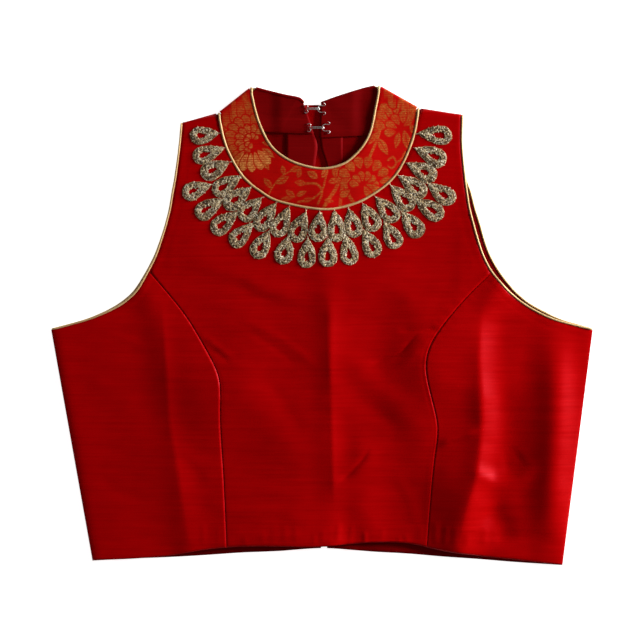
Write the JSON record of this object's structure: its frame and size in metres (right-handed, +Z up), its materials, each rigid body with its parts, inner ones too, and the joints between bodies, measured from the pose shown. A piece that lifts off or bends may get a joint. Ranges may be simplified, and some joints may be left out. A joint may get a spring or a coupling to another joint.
{
  "type": "choli blouse",
  "caption": "Sleeveless high-necked choli blouse laid flat, front up: red silk panels, brocade stand collar, gold corded piping and a back opening fastened with wire hooks and eyes.",
  "frame": {"origin": "centre of the laid-flat garment's box, on the surface it lies on", "axes": "+X towards the right underarm as seen from above, across the width; +Y from the hem towards the neck; +Z up from the surface it lies on, out of the front"},
  "size_m": [0.4614, 0.4086, 0.0134],
  "materials": {
    "red_silk": "deep red silk with fine crosswise slubs and a pinkish sheen",
    "brocade": "red satin ground with orange-gold flowers and leaves woven in fine crosswise lines",
    "lining": "plain dark red lining cloth",
    "gold_piping": "antique gold satin over cord",
    "wire": "plain bright wire"
  },
  "bodies": {
    "root": {"front_centre": "red_silk", "front_side_left": "red_silk", "front_side_right": "red_silk", "back_left": "red_silk", "back_right": "red_silk", "back_placket": "red_silk", "back_facing_left": "red_silk", "back_facing_right": "red_silk", "collar": "brocade", "collar_lining_left": "lining", "collar_lining_right": "lining", "collar_top_piping": "gold_piping", "collar_seam_piping": "gold_piping", "armhole_piping_left": "gold_piping", "armhole_piping_right": "gold_piping", "hook_1": "wire", "hook_2": "wire", "hook_3": "wire", "hook_4": "wire", "hook_5": "wire", "eye_1": "wire", "eye_2": "wire", "eye_3": "wire", "eye_4": "wire", "eye_5": "wire"}
  },
  "joints": []
}
